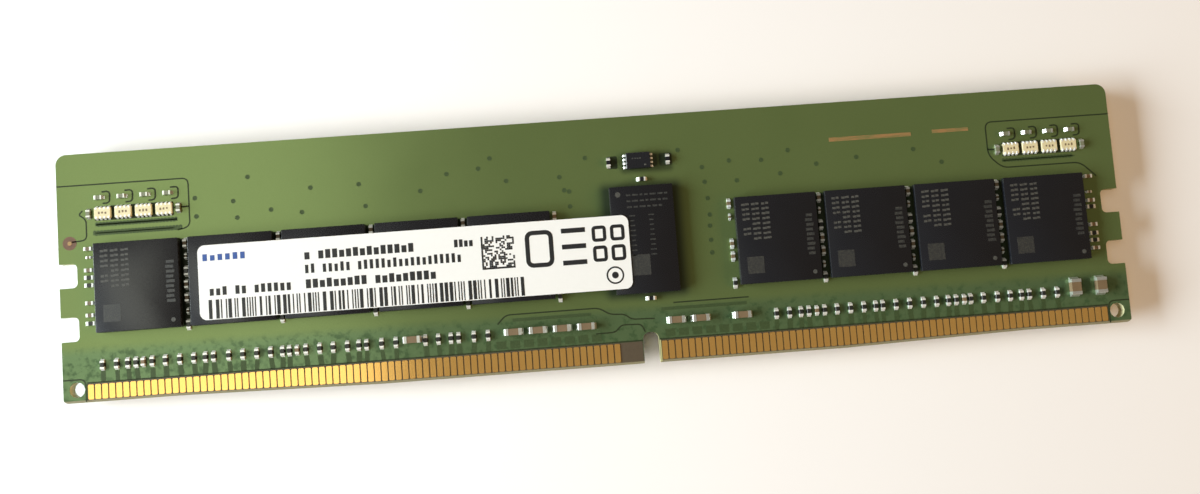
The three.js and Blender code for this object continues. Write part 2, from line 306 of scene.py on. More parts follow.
def solder_mask():
    """Green lacquer over copper that shines through it, with painted shadow darkening it round the register
    and the sensor.
    """
    finish = Finish("solder_mask", specular=0.2)
    x, y, _ = finish.axes()
    contact_side = 1 - finish.between(y + HEIGHT / 2, 6.0, 7.6)
    weave = x.wave(0.62) * y.wave(0.55)
    patches = finish.between(finish.noise(0.9, 3.0, 0.6), 0.46, 0.66) * contact_side
    clouds = finish.noise(9.0, 3.0)
    grain = finish.noise(0.16, 2.0)
    copper = finish.mixed(clouds, (0.151, 0.212, 0.076, 1), (0.174, 0.238, 0.089, 1))
    deeper = finish.mixed(contact_side * 0.42, copper, (0.074, 0.165, 0.112, 1))
    patched = finish.mixed(patches * 0.7, deeper, (0.034, 0.072, 0.030, 1))
    # Painted shadow: the mask is darkened round the register and to the right of the sensor, where these
    # parts cast shade.
    register_low, register_high = node_box("register_chip")
    painted_shadow_round_register = finish.beside(register_low - REGISTER_SHADE, register_high + REGISTER_SHADE, 1.6)
    sensor_low, sensor_high = node_box("sensor_chip")
    painted_shadow_round_sensor = finish.beside(sensor_low, sensor_high + SENSOR_SHADE, 0.9)
    painted_shadow_share = (painted_shadow_round_register * 0.88).maths("MAXIMUM", painted_shadow_round_sensor * 0.6)
    shaded = finish.mixed(painted_shadow_share, patched, (0.016, 0.024, 0.020, 1))
    finish.colour(finish.mixed(grain * 0.22, shaded, (0.080, 0.110, 0.040, 1)))
    finish.roughness(0.17 + 0.05 * clouds + 0.05 * grain)
    finish.metallic(0.45 - 0.2 * patches - 0.2 * painted_shadow_round_register)
    finish.bumps(weave * 0.35 + grain, 0.0022)
    return finish.material


def sunk_mask_and_painted_shade():
    """The mask where it lies on laminate with no copper: a gap in the copper, seen as a dark line; the dark
    fields that stand partly for painted shade wear it too.
    """
    finish = Finish("mask_over_laminate", specular=0.15)
    grain = finish.noise(0.3, 2.0)
    finish.colour(finish.mixed(grain, (0.020, 0.029, 0.013, 1), (0.034, 0.045, 0.020, 1)))
    finish.roughness(0.46 + 0.12 * grain)
    finish.bumps(grain, 0.001)
    return finish.material


def plugged_via():
    """A via under the mask, a shade darker than the copper round it."""
    finish = Finish("plugged_via", specular=0.2)
    grain = finish.noise(0.2, 2.0)
    finish.colour(finish.mixed(grain, (0.036, 0.060, 0.025, 1), (0.062, 0.092, 0.036, 1)))
    finish.roughness(0.40 + 0.12 * grain)
    finish.bumps(grain, 0.001)
    return finish.material


def laminate():
    """Bare glass-fibre board: brownish on its etched faces, pale and layered at its cut edges."""
    finish = Finish("bare_laminate")
    x, y, z = finish.axes()
    flat = finish.between(finish.up(), 0.55, 0.85)
    layers = finish.between(z.wave(0.2), -0.4, 0.9)
    fibres = finish.noise(0.12, 3.0, 0.6, (0.35, 0.35, 3.0))
    weave = x.wave(0.5) * y.wave(0.45)
    edge = finish.mixed(layers * 0.5, (0.46, 0.43, 0.24, 1), (0.22, 0.23, 0.10, 1))
    edge = finish.mixed(fibres * 0.4, edge, (0.62, 0.58, 0.38, 1))
    face = finish.mixed(fibres, (0.072, 0.052, 0.032, 1), (0.098, 0.074, 0.046, 1))
    finish.colour(finish.mixed(flat, edge, face))
    finish.roughness(0.68 - 0.18 * flat)
    finish.bumps(weave * 0.5 + fibres, 0.003)
    return finish.material


def gold():
    """Hard gold on the contacts, with fine scratches along the way the module is pushed in."""
    finish = Finish("contact_gold", metallic=0.75)
    scratches = finish.noise(0.1, 3.0, 0.6, (2.2, 0.12, 1.0))
    stains = finish.noise(1.6, 3.0)
    tone = finish.mixed(stains, (0.95, 0.53, 0.145, 1), (0.99, 0.60, 0.175, 1))
    worn_lines = finish.between(scratches, 0.55, 0.8)
    finish.colour(finish.mixed(worn_lines * 0.18, tone, (0.62, 0.36, 0.10, 1)))
    finish.roughness(0.11 + 0.05 * scratches + 0.03 * stains)
    return finish.material


def tin():
    """Reflowed solder and tinned ends, bright with a slightly crystalline skin."""
    finish = Finish("solder_tin", metallic=0.35)
    grains = finish.noise(0.11, 3.0, 0.6)
    dull = finish.noise(0.6, 2.0)
    finish.colour(finish.mixed(grains, (0.74, 0.75, 0.72, 1), (0.95, 0.96, 0.93, 1)))
    finish.roughness(0.22 + 0.20 * dull + 0.08 * grains)
    finish.bumps(grains, 0.006)
    return finish.material


def plated_tin():
    """Matt plated ends of the larger capacitors, which only shine where they face the light."""
    finish = Finish("plated_tin", metallic=0.75)
    grains = finish.noise(0.13, 3.0, 0.6)
    finish.colour(finish.mixed(grains, (0.60, 0.61, 0.56, 1), (0.86, 0.87, 0.82, 1)))
    finish.roughness(0.26 + 0.16 * grains)
    finish.bumps(grains, 0.006)
    return finish.material


def mould_compound():
    """Black epoxy moulding round the dies, finely sparked, with pale filler grains."""
    finish = Finish("mould_compound", specular=0.62)
    grain = finish.noise(0.07, 3.0, 0.7)
    filler = finish.between(finish.noise(0.05, 1.0), 0.66, 0.76)
    clouds = finish.noise(3.5, 3.0)
    base = finish.mixed(clouds, (0.0088, 0.0098, 0.0138, 1), (0.0122, 0.0130, 0.0170, 1))
    finish.colour(finish.mixed(filler * 0.35, base, (0.035, 0.035, 0.034, 1)))
    finish.roughness(0.21 + 0.08 * grain + 0.04 * clouds)
    finish.bumps(grain, 0.0012)
    return finish.material


def package_base():
    """The thin dark green board under the moulding, cut at its edges."""
    finish = Finish("package_base")
    _, _, z = finish.axes()
    layers = finish.between(z.wave(0.1), -0.2, 0.8)
    grain = finish.noise(0.12, 2.0)
    tone = finish.mixed(layers * 0.6, (0.020, 0.030, 0.014, 1), (0.085, 0.075, 0.035, 1))
    finish.colour(finish.mixed(grain * 0.5, tone, (0.030, 0.040, 0.020, 1)))
    finish.roughness(0.48 + 0.16 * grain)
    finish.bumps(grain, 0.003)
    return finish.material


def laser_mark():
    """Moulding burnt pale grey by the marking laser, in fine uneven lines."""
    finish = Finish("laser_mark")
    burns = finish.between(finish.noise(0.12, 3.0, 0.7), 0.32, 0.66)
    finish.colour(finish.mixed(burns, (0.024, 0.024, 0.024, 1), (0.104, 0.104, 0.092, 1)))
    finish.roughness(0.62 + 0.25 * burns)
    finish.bumps(burns, 0.004)
    return finish.material


def code_mark():
    """Fine laser dots, seen as a soft brown-grey patch: code fields and the fainter dashes."""
    finish = Finish("code_mark")
    dots = finish.between(finish.spots(0.16), 0.25, 0.55)
    finish.colour(finish.mixed(dots, (0.056, 0.055, 0.046, 1), (0.024, 0.024, 0.024, 1)))
    finish.roughness(0.75 - 0.15 * dots)
    finish.bumps(dots, 0.003)
    return finish.material


def resistor_glass():
    """Black overcoat of the small resistors, glossy and a little uneven."""
    finish = Finish("resistor_glass")
    grain = finish.noise(0.15, 2.0)
    finish.colour(finish.mixed(grain, (0.012, 0.013, 0.012, 1), (0.030, 0.031, 0.027, 1)))
    finish.roughness(0.22 + 0.18 * grain)
    finish.bumps(grain, 0.006)
    return finish.material


def ceramic(name, first, second):
    """Fired ceramic or cut laminate, matt and finely speckled, in two near tones."""
    finish = Finish(name)
    grain = finish.noise(0.09, 3.0, 0.6)
    clouds = finish.noise(0.9, 2.0)
    tone = finish.mixed(clouds, first, second)
    speck = (*[part * 0.6 for part in first[:3]], 1)
    finish.colour(finish.mixed(finish.between(grain, 0.55, 0.75) * 0.4, tone, speck))
    finish.roughness(0.48 + 0.2 * grain)
    finish.bumps(grain, 0.005)
    return finish.material


def label_film():
    """White polyester label stock with a faint satin orange-peel."""
    finish = Finish("label_film")
    peel = finish.noise(0.5, 2.0)
    fibres = finish.noise(0.09, 2.0)
    finish.colour(finish.mixed(peel, (0.84, 0.855, 0.865, 1), (0.87, 0.885, 0.895, 1)))
    finish.roughness(0.34 + 0.10 * fibres)
    finish.bumps(peel + fibres * 0.3, 0.003)
    return finish.material


def ink(name, dark, light):
    """Thermal-transfer ink: nearly solid, with tiny pale voids."""
    finish = Finish(name)
    voids = finish.between(finish.noise(0.07, 2.0), 0.60, 0.80)
    finish.colour(finish.mixed(voids * 0.35, dark, light))
    finish.roughness(0.40 + 0.15 * voids)
    finish.bumps(voids, 0.002)
    return finish.material


def bare_copper():
    """Copper that shows through thin mask, warm and brushed."""
    finish = Finish("thinly_masked_copper", metallic=0.25)
    streaks = finish.noise(0.5, 3.0, 0.6, (0.25, 2.0, 1.0))
    thin = finish.between(streaks, 0.35, 0.65)
    finish.colour(finish.mixed(thin, (0.22, 0.20, 0.075, 1), (0.40, 0.22, 0.09, 1)))
    finish.roughness(0.40 + 0.15 * streaks)
    finish.bumps(streaks, 0.002)
    return finish.material


def flux_ring():
    """The scorched brown ring of flux round a probed test land."""
    finish = Finish("flux_ring")
    grain = finish.noise(0.3, 3.0)
    finish.colour(finish.mixed(grain, (0.085, 0.035, 0.018, 1), (0.18, 0.085, 0.040, 1)))
    finish.roughness(0.40 + 0.2 * grain)
    finish.bumps(grain, 0.005)
    return finish.material


def table_top():
    """The plain pale surface the module lies on."""
    finish = Finish("table_top")
    clouds = finish.noise(55.0, 2.0)
    finish.colour(finish.mixed(clouds, (0.91, 0.91, 0.94, 1), (0.935, 0.935, 0.965, 1)))
    finish.roughness(0.70 + 0.1 * clouds)
    return finish.material


FINISHES = {
    "mask": solder_mask(),
    "gap": sunk_mask_and_painted_shade(),
    "via": plugged_via(),
    "laminate": laminate(),
    "gold": gold(),
    "tin": tin(),
    "plated": plated_tin(),
    "mould": mould_compound(),
    "base": package_base(),
    "mark": laser_mark(),
    "code": code_mark(),
    "glass": resistor_glass(),
    "alumina": ceramic("resistor_body", (0.030, 0.031, 0.028, 1), (0.050, 0.051, 0.046, 1)),
    "array": ceramic("array_ceramic", (0.68, 0.61, 0.37, 1), (0.76, 0.69, 0.45, 1)),
    "titanate": ceramic("capacitor_ceramic", (0.160, 0.110, 0.058, 1), (0.215, 0.150, 0.086, 1)),
    "pale": ceramic("pale_ceramic", (0.150, 0.165, 0.105, 1), (0.215, 0.225, 0.150, 1)),
    "cut edge": ceramic("cut_edge", (0.42, 0.43, 0.20, 1), (0.52, 0.52, 0.27, 1)),
    "film": label_film(),
    "black ink": ink("black_ink", (0.012, 0.012, 0.014, 1), (0.35, 0.35, 0.35, 1)),
    "blue ink": ink("blue_ink", (0.030, 0.085, 0.32, 1), (0.45, 0.52, 0.70, 1)),
    "copper": bare_copper(),
    "flux": flux_ring(),
    "table": table_top(),
}

# ------------------------------------------------------------------ modelling helpers


def deselect():
    """Leaves nothing selected."""
    for thing in list(bpy.context.selected_objects):
        thing.select_set(False)


def only(piece):
    """Makes a piece the one that operators act on."""
    deselect()
    piece.select_set(True)
    bpy.context.view_layer.objects.active = piece
    return piece


@contextmanager
def picked(piece, kind="FACE", test=lambda part: True):
    """Edit mode with the faces or edges selected that pass the test."""
    only(piece)
    bpy.ops.object.mode_set(mode="EDIT")
    bpy.ops.mesh.select_mode(type=kind)
    bpy.ops.mesh.select_all(action="DESELECT")
    mesh = bmesh.from_edit_mesh(piece.data)
    parts = {"EDGE": mesh.edges, "FACE": mesh.faces}[kind]
    for part in [part for part in parts if test(part)]:
        part.select_set(True)
    mesh.select_flush_mode()
    bmesh.update_edit_mesh(piece.data)
    yield
    bpy.ops.object.mode_set(mode="OBJECT")


def middle(part):
    """The middle of an edge or face."""
    return sum((corner.co for corner in part.verts), Vector()) / len(part.verts)


def upright(edge):
    """Whether an edge stands up."""
    first, second = (corner.co for corner in edge.verts)
    return abs(first.z - second.z) > 0.9 * (first - second).length


def block(low, high):
    """A box between two corners."""
    low, high = Vector(low), Vector(high)
    deselect()
    bpy.ops.mesh.primitive_cube_add(size=1.0, location=(low + high) / 2, scale=high - low)
    bpy.ops.object.transform_apply(location=True, rotation=True, scale=True)
    return bpy.context.object


def bevelled(piece, width, segments=1, test=upright):
    """Rounds or chamfers the edges that pass the test."""
    with picked(piece, "EDGE", test):
        bpy.ops.mesh.bevel(offset=width, segments=segments, affect="EDGES")
    return piece


def top_rim(piece):
    """A test for the edges round the top of a piece."""
    top = max(corner.co.z for corner in piece.data.vertices)

    def on_rim(edge):
        return all(abs(corner.co.z - top) < TINY for corner in edge.verts)

    return on_rim


def own_copy(piece, move=(0.0, 0.0, 0.0), turn=0.0):
    """A copy with its own mesh, turned about z in degrees and then moved."""
    copy = piece.copy()
    copy.data = piece.data.copy()
    bpy.context.collection.objects.link(copy)
    copy.data.transform(Matrix.Translation(move) @ Matrix.Rotation(math.radians(turn), 4, "Z"))
    return copy


def discard(*pieces):
    """Removes patterns that have been copied."""
    for piece in pieces:
        bpy.data.objects.remove(piece)


def joined(parts):
    """Several parts as one mesh."""
    parts = list(parts)
    only(parts[0])
    for part in parts:
        part.select_set(True)
    if len(parts) > 1:
        bpy.ops.object.join()
    return bpy.context.view_layer.objects.active


def worn(piece, finish):
    """Gives a part its finish."""
    piece.data.materials.clear()
    piece.data.materials.append(FINISHES[finish])
    return piece


def smoothed(piece, angle=35.0):
    """Shades a piece smooth, apart from edges sharper than angle degrees."""
    only(piece)
    bpy.ops.object.shade_smooth_by_angle(angle=math.radians(angle))
    return piece


def to_back(piece):
    """Mirrors a piece made for the front through the board, and turns its faces outwards again."""
    across = Matrix.Translation((0, 0, FRONT + BACK)) @ Matrix.Scale(-1.0, 4, (0, 0, 1))
    piece.data.transform(across)
    piece.data.flip_normals()
    return piece


def finished(piece, name, stands_for=()):
    """Names a piece, brings it into the frame and lets it ride on the module."""
    piece.name = name
    piece.data.name = name
    piece.data.transform(Matrix.Translation(ORIGIN) @ Matrix.Scale(MM, 4))
    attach(piece, "root")
    if stands_for:
        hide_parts(*stands_for)


UNIT = block((-0.5, -0.5, -0.5), (0.5, 0.5, 0.5))


def tile(low, high):
    """A small plain block between two corners, copied from one unit cube."""
    low, high = Vector(low), Vector(high)
    copy = own_copy(UNIT)
    copy.data.transform(Matrix.Translation((low + high) / 2) @ Matrix.Diagonal((*(high - low), 1.0)))
    return copy


def print_tile(x, y, width, height, level):
    """A flat printed or burnt mark about a point."""
    left, bottom = x - width / 2, y - height / 2
    return tile((left, bottom, level), (left + width, bottom + height, level + SKIN))


def round_plate(x, y, radius, level, thickness, sides):
    """A flat plate with many sides."""
    deselect()
    bpy.ops.mesh.primitive_cylinder_add(
        vertices=sides, radius=radius, depth=thickness, location=(x, y, level + thickness / 2)
    )
    bpy.ops.object.transform_apply(location=True, rotation=True, scale=True)
    return bpy.context.object


def disc(x, y, radius, level, thickness, sides=16):
    """A flat disc with a chamfered rim."""
    piece = round_plate(x, y, radius, level, thickness, sides)
    return bevelled(piece, thickness * 0.4, 1, top_rim(piece))


def cut_out(piece, stroke):
    """Leaves only a band round a flat piece: its top and bottom are inset and joined through."""
    with picked(piece, "FACE", lambda face: abs(face.normal.z) > 0.9):
        bpy.ops.mesh.inset(thickness=stroke)
        bpy.ops.mesh.bridge_edge_loops()
    return piece


def ring(x, y, radius, stroke, level, thickness, sides=40):
    """A flat ring."""
    return cut_out(round_plate(x, y, radius, level, thickness, sides), stroke)


def frame_mark(x, y, width, height, stroke, corner, level):
    """A printed rounded frame."""
    return cut_out(bevelled(print_tile(x, y, width, height, level), corner, 4), stroke)


def rounded_route(points, radius, steps=6):
    """The points of a line whose corners are rounded."""
    points = [Vector((x, y, 0.0)) for x, y in points]
    route = [points[0]]
    for before, corner, after in zip(points, points[1:], points[2:]):
        reach = min(radius, (before - corner).length / 2, (after - corner).length / 2)
        start = corner + (before - corner).normalized() * reach
        end = corner + (after - corner).normalized() * reach
        for step in range(steps + 1):
            along = step / steps
            route.append(start.lerp(corner, along).lerp(corner.lerp(end, along), along))
    return route + [points[-1]]


def ribbon(points, width, level, radius=0.5):
    """A thin flat line that lies on the board along a route with rounded corners."""
    route = rounded_route(points, radius)
    line = bpy.data.curves.new("line", "CURVE")
    line.dimensions = "2D"
    line.extrude = SKIN / 2
    spline = line.splines.new("POLY")
    spline.points.add(len(route) - 1)
    for point, place in zip(spline.points, route):
        point.co = (*place, 1.0)
    piece = bpy.data.objects.new("line", line)
    bpy.context.collection.objects.link(piece)
    only(piece)
    bpy.ops.object.convert(target="MESH")
    with picked(piece):
        bpy.ops.mesh.remove_doubles(threshold=TINY)
    thicken = piece.modifiers.new("width", "SOLIDIFY")
    thicken.thickness = width
    thicken.offset = 0.0
    bpy.ops.object.modifier_apply(modifier="width")
    piece.data.transform(Matrix.Translation((0, 0, level + SKIN / 2)))
    return smoothed(piece)


# ------------------------------------------------------------------ board and solder mask

CONTACT_BANDS = [(2.9, 71.2), (73.3, LENGTH - 2.85)]  # stretches of the lower edge with no mask
MASK_EDGE = 2.78  # how high they reach


def dressed(node, finish):
    """Puts a finish on a CAD node that stays in view."""
    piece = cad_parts[node]
    if not piece.data.materials:
        piece.data.materials.append(None)
    for slot in piece.material_slots:
        slot.link = "OBJECT"
        slot.material = FINISHES[finish]


def mask_sheet(name, side):
    """The lacquer on one face of the board: the outline of that face, open over the contacts."""
    sheet = own_copy(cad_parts["board"])
    sheet.data.transform(Matrix.Scale(1 / MM, 4) @ Matrix.Translation(-ORIGIN))
    worn(sheet, "mask")
    with picked(sheet):
        bpy.ops.mesh.remove_doubles(threshold=1e-3)
    with picked(sheet, "FACE", lambda face: face.normal.z * side < 0.95):
        bpy.ops.mesh.delete(type="FACE")
    with picked(sheet):
        bpy.ops.mesh.dissolve_limited(angle_limit=0.01)
    cuts = [((0, MASK_EDGE, 0), (0, 1, 0))]
    cuts += [((end, 0, 0), (1, 0, 0)) for band in CONTACT_BANDS for end in band]
    for place, direction in cuts:
        with picked(sheet):
            bpy.ops.mesh.bisect(plane_co=place, plane_no=direction, threshold=TINY)

    def over_contacts(face):
        centre = face.calc_center_bounds()
        return centre.y < MASK_EDGE and any(start < centre.x < end for start, end in CONTACT_BANDS)

    with picked(sheet, "FACE", over_contacts):
        bpy.ops.mesh.delete(type="FACE")
    only(sheet)
    thicken = sheet.modifiers.new("lacquer", "SOLIDIFY")
    thicken.thickness = MASK
    thicken.offset = 1.0
    bpy.ops.object.modifier_apply(modifier="lacquer")
    finished(sheet, name)


def board():
    """The laminate is the CAD board itself; the lacquer is a sheet on each face."""
    dressed("board", "laminate")
    mask_sheet("solder_mask_front", 1)
    mask_sheet("solder_mask_back", -1)


# ------------------------------------------------------------------ contacts

FINGER_PITCH = 0.85
FINGER_WIDTH = 0.70
FINGER_THICKNESS = 0.05
FINGER_TOP = 2.66
FINGER_FOOT = 0.35
FINGER_CORNER = 0.14
BANKS = {"left": (3.35, 77), "right": (73.90, 67)}  # middle of the first contact, and how many there are
EDGE_STEP = 0.5  # how far the contact edge is set back at both ends of the board
STEP_ENDS = (13.55, 39.05, LENGTH - 36.5, LENGTH - 13.55)


def edge_height(x):
    """How high the contact edge is above its lowest stretches."""
    left_low, left_high, right_high, right_low = STEP_ENDS
    if x < left_low or x > right_low:
        return EDGE_STEP
    if x < left_high:
        return EDGE_STEP * (left_high - x) / (left_high - left_low)
    if x > right_high:
        return EDGE_STEP * (x - right_high) / (right_low - right_high)
    return 0.0


def finger():
    """One contact, from y 0 to its top, with rounded corners."""
    piece = block((-FINGER_WIDTH / 2, 0.0, 0.0), (FINGER_WIDTH / 2, FINGER_TOP, FINGER_THICKNESS))
    bevelled(piece, FINGER_CORNER, 3)
    return worn(piece, "gold")


def contact_bank(pattern, half, side):
    """All the contacts on one side of the key, on one face."""
    first, count = BANKS[half]
    fingers = []
    for number in range(count):
        x = first + number * FINGER_PITCH
        foot = edge_height(x) + FINGER_FOOT
        part = own_copy(pattern, (x, 0.0, FRONT))
        for corner in part.data.vertices:
            if corner.co.y < FINGER_TOP / 2:
                corner.co.y += foot
        fingers.append(part)
    bank = joined(fingers)
    if side == "back":
        to_back(bank)
    node = f"contacts_{side}_{half}"
    finished(bank, f"gold_{node}", [node])


def contacts():
    """The two banks on each face."""
    pattern = finger()
    for side in ("front", "back"):
        for half in BANKS:
            contact_bank(pattern, half, side)
    discard(pattern)


# ------------------------------------------------------------------ ball grid packages

BALL_GAP = 0.3  # between the board and a package, filled by the balls
BASE_THICKNESS = 0.18
BASE_CORNER = 0.05
MOULD_INSET = 0.02
MOULD_CORNER = 0.08
MOULD_RIM = 0.035
BALL_PITCH = 0.8
BALL_RADIUS = 0.23


def solder_ball():
    """One reflowed ball, flattened where it meets the two lands."""
    deselect()
    bpy.ops.mesh.primitive_uv_sphere_add(segments=10, ring_count=6, radius=BALL_RADIUS)
    ball = bpy.context.object
    for level, direction in ((BALL_GAP / 2, 1), (-BALL_GAP / 2, -1)):
        with picked(ball):
            bpy.ops.mesh.bisect(
                plane_co=(0, 0, level),
                plane_no=(0, 0, direction),
                use_fill=True,
                clear_outer=True,
                threshold=TINY,
            )
    return worn(smoothed(ball, 50), "tin")


def package_body(low, high):
    """A thin green base and the black moulding on it, in the package's box and clear of its balls."""
    base_bottom = low.z + BALL_GAP
    base_top = base_bottom + BASE_THICKNESS
    base = worn(bevelled(block((low.x, low.y, base_bottom), (high.x, high.y, base_top)), BASE_CORNER), "base")
    mould_low = Vector((low.x + MOULD_INSET, low.y + MOULD_INSET, base_top))
    mould_high = Vector((high.x - MOULD_INSET, high.y - MOULD_INSET, high.z))
    mould = bevelled(block(mould_low, mould_high), MOULD_CORNER, 2)
    bevelled(mould, MOULD_RIM, 2, top_rim(mould))
    worn(smoothed(mould), "mould")
    return joined([base, mould])


def ball_grid(ball, centre, columns, rows):
    """Balls at every crossing of the columns and rows, given in pitches from the centre."""
    level = FRONT + BALL_GAP / 2
    return joined(
        own_copy(ball, (centre.x + column * BALL_PITCH, centre.y + row * BALL_PITCH, level))
        for column in columns
        for row in rows
    )


def under_label(x, y):
    """Whether a mark at this place would touch the label."""
    reach = 0.5
    across = LABEL_LOW.x - reach < x < LABEL_HIGH.x + reach
    return across and LABEL_LOW.y - reach < y < LABEL_HIGH.y + reach


# Places of the marks on a memory chip, from its middle.
DASH_COLUMNS = {-3.85: (0, 1, 2, 3, 5, 6), -2.6: range(8), -1.35: range(8)}  # which rows each column fills
DASH_TOP = 4.45
DASH_ROW = 0.62
DASH_HEIGHT = 0.27
DASH_PAIR = ((-0.25, 0.0), (0.25, 0.05))  # shift and rise of the two dashes in a row
FAINT_COLUMN = 4.1
FAINT_TOP = 2.6
FAINT_ROW = 0.6
FAINT_HEIGHT = 0.36
CODE_FIELD = dict(x=-3.1, y=-3.2, width=2.1, height=2.1)
CORNER_DOT = Vector((4.25, -4.55, 0.0))


def memory_marks(centre, seed, covered):
    """Laser marks on one memory chip: three columns of dashes, a faint column, a code field and a dot."""
    dice = random.Random(seed)
    marks = {"mark": [], "code": []}

    def mark(x, y, width, height, finish="mark"):
        if not (covered and under_label(centre.x + x, centre.y + y)):
            marks[finish].append(print_tile(centre.x + x, centre.y + y, width, height, CHIP_TOP))

    for column, rows in DASH_COLUMNS.items():
        for row in rows:
            for shift, rise in DASH_PAIR:
                width = dice.uniform(0.38, 0.5)
                mark(column + shift, DASH_TOP - row * DASH_ROW + rise, width, DASH_HEIGHT)
    for row in range(9):
        x, y = FAINT_COLUMN - 0.1 * (row % 2), FAINT_TOP - row * FAINT_ROW
        mark(x, y, dice.uniform(0.8, 1.05), FAINT_HEIGHT, "code")
    mark(**CODE_FIELD, finish="code")
    parts = [worn(joined(group), finish) for finish, group in marks.items() if group]
    dot = centre + CORNER_DOT
    if not (covered and under_label(dot.x, dot.y)):
        parts.append(worn(disc(dot.x, dot.y, 0.27, CHIP_TOP, SKIN), "mark"))
    return joined(parts) if parts else None


# Columns and rows of balls, in pitches from the middle of a package.
MEMORY_BALLS = ((-4, -3, -2, 2, 3, 4), range(-6, 7))
REGISTER_BALLS = (range(-4, 5), [step - 7.5 for step in range(16)])


def memory_chips(ball):
    """The nine memory chips on each face: body, balls and what marks the label leaves in view."""
    low, high = node_box("memory_chip_front_1")
    centre = (low + high) / 2
    body = package_body(low, high)
    grid = ball_grid(ball, centre, *MEMORY_BALLS)
    for number in range(1, 10):
        for side in ("front", "back"):
            node = f"memory_chip_{side}_{number}"
            chip_low, chip_high = node_box(node)
            chip_centre = (chip_low + chip_high) / 2
            move = (chip_centre.x - centre.x, chip_centre.y - centre.y, 0.0)
            copies = {"body": own_copy(body, move), "balls": own_copy(grid, move)}
            marks = memory_marks(chip_centre, number, side == "front")
            if marks:
                copies["marks"] = marks
            for kind, piece in copies.items():
                if side == "back":
                    to_back(piece)
                    piece.data.transform(Matrix.Translation((0, 0, SKIN)))
                stands_for = [node] if kind == "body" else []
                finished(piece, f"memory_{kind}_{side}_{number}", stands_for)
    discard(body, grid)


# Places of the marks on the register chip, from its middle.
TEXT_ROWS = {5.6: 3.2, 4.85: 3.3, 4.1: 2.4}  # height of each row of dashes, and where it stops
TEXT_START = -1.9
TEXT_GAP = 0.2
REGISTER_COLUMNS = (-1.35, 1.05)
REGISTER_CODE = Vector((-0.65, -3.2, 0.0))


def register_chip(ball):
    """The register: body, balls, and marks like the memory chips' but fainter."""
    low, high = node_box("register_chip")
    centre = (low + high) / 2
    finished(package_body(low, high), "register_body", ["register_chip"])
    finished(ball_grid(ball, centre, *REGISTER_BALLS), "register_balls")
    dice = random.Random(40)
    marks = []
    for row, end in TEXT_ROWS.items():
        x = TEXT_START
        while x < end:
            width = dice.uniform(0.35, 0.8)
            marks.append(print_tile(centre.x + x + width / 2, centre.y + row, width, 0.22, CHIP_TOP))
            x += width + TEXT_GAP
    for column in REGISTER_COLUMNS:
        for row in range(9):
            x, y = centre.x + column, centre.y + 3.0 - row * DASH_ROW
            if not under_label(x, y):
                marks.append(print_tile(x, y, dice.uniform(0.45, 0.75), 0.16, CHIP_TOP))
    dot = disc(low.x + 1.05, high.y - 1.0, 0.34, CHIP_TOP, SKIN)
    field = centre + REGISTER_CODE
    code = print_tile(field.x, field.y, 2.3, 2.6, CHIP_TOP)
    parts = [worn(joined(marks), "code"), worn(dot, "mark"), worn(code, "code")]
    finished(joined(parts), "register_marks")


# ------------------------------------------------------------------ two-ended parts


def about_middle(width, length, bottom, top):
    """A box centred on the origin as seen from above, lying along y."""
    return block((-width / 2, -length / 2, bottom), (width / 2, length / 2, top))


def fillet(width, reach, height, finish="tin"):
    """Solder that climbs an end: a wedge with its low side outwards, along -y from the origin."""
    wedge = block((-width / 2, -reach, 0.0), (width / 2, 0.0, height))

    def outer_top(edge):
        return middle(edge).z > height * 0.9 and middle(edge).y < -reach * 0.9

    with picked(wedge, "EDGE", outer_top):
        bpy.ops.transform.translate(value=(0, reach * 0.25, -height * 0.75))
    return worn(wedge, finish)


WRAP = 0.02  # thickness of the metal wrapped over an end
COAT_INSET = 0.03
COAT_RISE = 0.01
LONG_PART = 1.5  # length from which a capacitor has the wider ends
NARROW_END = 0.25
WIDE_END = 0.42


def two_ended(length, width, height, end, body_finish, coated=False, end_finish="tin"):
    """A chip resistor or capacitor about the origin, lying along y, with wrapped ends and solder."""
    half = length / 2
    body_top = height - WRAP
    body = worn(about_middle(width - 2 * WRAP, length - end, WRAP, body_top), body_finish)
    cap = block((-width / 2, -half, 0.0), (width / 2, -half + end, height))

    def outer_rim(edge):
        return middle(edge).y < -half + TINY and middle(edge).z > 0.01

    worn(bevelled(cap, min(0.06, height * 0.16), 1, outer_rim), end_finish)
    solder = fillet(width * 0.92, 0.16 + width * 0.08, height * 0.55, end_finish)
    solder.data.transform(Matrix.Translation((0, -half, 0)))
    parts = [body, cap, own_copy(cap, turn=180), solder, own_copy(solder, turn=180)]
    if coated:
        coat = about_middle(width - 2 * COAT_INSET, length - end * 1.7, body_top - WRAP, height + COAT_RISE)
        parts.append(worn(bevelled(coat, 0.02, 1, top_rim(coat)), "glass"))
    return parts


def split_by_finish(parts, side, name):
    """Joins parts of the same finish and makes one finished piece for each finish."""
    groups = {}
    for part in parts:
        groups.setdefault(part.data.materials[0].name, []).append(part)
    for finish_name, group in groups.items():
        piece = joined(group)
        if side == "back":
            to_back(piece)
        finished(piece, f"{side}_{finish_name}_{name}")


RESISTOR = dict(length=1.08, width=0.5, height=0.36, end=0.3, body_finish="alumina", coated=True)
CAPACITOR = dict(length=1.0, width=0.46, height=0.5, end=0.28, body_finish="titanate")
MIDGET = dict(length=0.62, width=0.3, height=0.3, end=0.18, body_finish="titanate")

